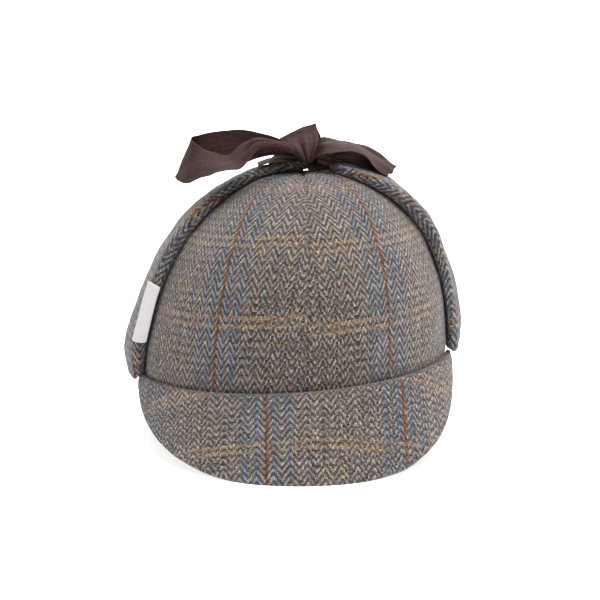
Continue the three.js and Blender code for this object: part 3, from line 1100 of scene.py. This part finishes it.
tail_left_rows = (
    (4.2, 6.5, -1, 90, 0, 7),
    (6, 14, -1.8, 90, 0, 13),
    (9.5, 26, -4, 92, 0, 19),
    (13, 38, -8.8, 94, 0, 22),
    (16.5, 52, -14, 98, 0, 22),
    (20, 65, -21, 101, 0, 22),
    (25, 76, -30.5, 103, 0, 22),
    (28, 84, -40, 104, 0, 22),
)
tie_right_rows = (
    (-27, 14, -6.3, 88, 90, 22),
    (-20, 13, -4, 88, 90, 20),
    (-12, 9, -3, 86, 90, 13),
    (-7, 3, -3.2, 80, 90, 7),
)
tie_left_rows = (
    (22, 5, -2.9, 84, 83, 20),
    (19, 5, -3.1, 84, 83, 19),
    (14, 2, -2.8, 76, 83, 16),
    (9.6, 0, -1.8, 68, 83, 12),
    (7, -0.5, -1.2, 60, 81, 8),
)


def ribbon_line(rows, v):
    """The middle of the ribbon, the way its width lies, and how wide it is."""
    row = read_table(ribbon_heads, rows, v)
    tilt, turn = math.radians(row["tilt"]), math.radians(row["turn"])
    lies = Vector((math.sin(tilt) * math.cos(turn), math.sin(tilt) * math.sin(turn), math.cos(tilt)))
    return knot_place + Vector((row["x"], row["y"], row["z"])) / 1000, lies, row["width"] / 1000


def ribbon_length(rows):
    steps = 40 * len(rows)
    line = [ribbon_line(rows, step / steps)[0] for step in range(steps + 1)]
    return sum((b - a).length for a, b in zip(line, line[1:]))


def ribbed_ribbon(name):
    """Fine ribs across, with painted shade in the troughs between them, streaks of painted shade along it
    for fine wrinkles, slubs in the threads, and a lighter selvedge at each edge.
    """
    ribbon, tree, shader, maths, laid, flat = cloth_finish(name)
    from_middle = maths("ABSOLUTE", maths("SUBTRACT", flat[0], ribbon_cut / 2))
    selvedge = maths("GREATER_THAN", from_middle, ribbon_cut / 2 - selvedge_width)
    ribs = maths("SINE", maths("MULTIPLY", flat[1], 2 * math.pi / rib_pitch))
    # Painted shade: streaks along the ribbon for fine lengthwise wrinkles.
    wrinkle_shade_place = tree.nodes.new("ShaderNodeCombineXYZ")
    for axis in (0, 1):
        tree.links.new(maths("MULTIPLY", flat[axis], wrinkle_shade_per_metre[axis]), wrinkle_shade_place.inputs[axis])
    wrinkle_shade = soft_noise(tree, wrinkle_shade_place.outputs[0], 1, 3)
    slubs = soft_noise(tree, laid, slubs_per_metre, 3)
    tone = maths("ADD", maths("MULTIPLY", wrinkle_shade, wrinkle_shade_show), maths("MULTIPLY", slubs, slubs_show))
    tone = maths("SUBTRACT", tone, all_darker)
    # Painted shade: darker in the troughs between the ribs and lighter on their crests.
    tone = maths("ADD", tone, maths("MULTIPLY", ribs, rib_shade_show))
    tone = maths("ADD", tone, maths("MULTIPLY", selvedge, selvedge_lighter))
    tree.links.new(mixed(tree, tone, ribbon_dark, ribbon_light), shader.inputs["Base Color"])
    height = maths("ADD", maths("MULTIPLY", ribs, 0.4), maths("MULTIPLY", slubs, 0.8))
    raise_relief(tree, shader, height, 0.9, 0.00015)
    shader.inputs["Roughness"].default_value = 0.72
    shader.inputs["Specular IOR Level"].default_value = 0.12
    return ribbon


brown_ribbon = ribbed_ribbon("brown ribbon")
look_along = 0.01
gather_from, gather_full = 1.05, 0.45
pleat_upright, pleat_leaning = 0.8, 0.6
pleat_wander, wander_rate, wander_shift = 0.08, 9, 7
ribbon_ripples = ((0.014, 0.0008), (0.005, 0.00025))


def ribbon_piece(name, rows, pleats, shift, curl, overlap):
    """Pleats across the ribbon where it is gathered, shift of the first, curl of its edges in metres, and
    how far each pleat leans over the next."""
    steps = steps_per_row * (len(rows) - 1)
    long = ribbon_length(rows)

    def place(u, v):
        middle, lies, wide = ribbon_line(rows, v)
        ahead = ribbon_line(rows, min(v + look_along, 1))[0]
        behind = ribbon_line(rows, max(v - look_along, 0))[0]
        out = (ahead - behind).cross(lies).normalized()
        full = ribbon_cut / wide
        gathered = math.sqrt(max(full ** 2 - 1, 0)) * within_one((full - gather_from) / gather_full)
        gathered /= pleat_upright + pleat_leaning * overlap
        depth = gathered * wide / (2 * math.pi * pleats)
        wander = pleat_wander * math.sin(wander_rate * v + shift * wander_shift)
        fold = depth * math.sin(2 * math.pi * (pleats * (u + wander * (1 - abs(2 * u - 1))) + shift))
        cup = curl * (2 * u - 1) ** 2
        lap = overlap * depth * math.cos(2 * math.pi * (pleats * u + shift))
        point = middle + lies * ((u - 0.5) * wide + lap)
        return point + out * (fold + cup + soft_waves(point, ribbon_ripples))

    def laid(u, v):
        return (ribbon_cut * u, long * v)

    piece = woven_sheet(name, ribbon_columns, steps, place, laid, brown_ribbon, knot_place, ribbon_wall)
    return piece


# Each piece's rows, and then its pleats as ribbon_piece takes them.
bow = {
    "bow_loop_right": (loop_right_rows, 2, 0.1, 0.0, 0.9),
    "bow_loop_left": (loop_left_rows, 2, 0.35, -0.001, 0.7),
    "bow_tail_right": (tail_right_rows, 2.5, 0.2, 0.0008, 0.5),
    "bow_tail_left": (tail_left_rows, 2.5, 0.6, 0.0008, 0.5),
    "tie_right": (tie_right_rows, 3, 0.4, 0.0, 0.5),
    "tie_left": (tie_left_rows, 3, 0.15, 0.0, 0.7),
}
for node, (rows, pleats, shift, curl, overlap) in bow.items():
    piece = ribbon_piece("ribbon_" + node, rows, pleats, shift, curl, overlap)
    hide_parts(node)

# The knot is a short gathered band of the same ribbon, drawn tight slantwise round the crossing.
knot_grid = (72, 60)
knot_creases = 3
crease_depth = 0.14
crease_round = 0.6
crease_slant = 0.55
slant_from = 0.6
knot_drawn = 0.72
knot_short = 0.72
knot_uneven = 0.06
knot_fullness = 0.8
knot_wrap = 0.034


def knot_point(u, v):
    turn, climb = 2 * math.pi * u, math.pi * (v - 0.5)
    slanted = v + crease_slant * math.sin(turn + slant_from) * math.cos(climb)
    crease = abs(math.sin(math.pi * knot_creases * slanted)) ** crease_round
    uneven = knot_uneven * noise.noise(Vector((math.cos(turn), math.sin(turn), 2 * v)))
    swell = knot_drawn - crease_depth * (1 - crease) + uneven
    round_out = math.cos(climb) ** knot_fullness if v not in (0, 1) else 0
    return knot_place + Vector((
        knot_half.x * knot_short * swell * math.sin(climb),
        -knot_half.y * swell * round_out * math.cos(turn),
        knot_half.z * knot_short * swell * round_out * math.sin(turn),
    ))


def knot_laid(u, v):
    return (ribbon_cut * v, knot_wrap * u)


knot = woven_sheet("ribbon_bow_knot", *knot_grid, knot_point, knot_laid, brown_ribbon, knot_place)
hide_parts("bow_knot")
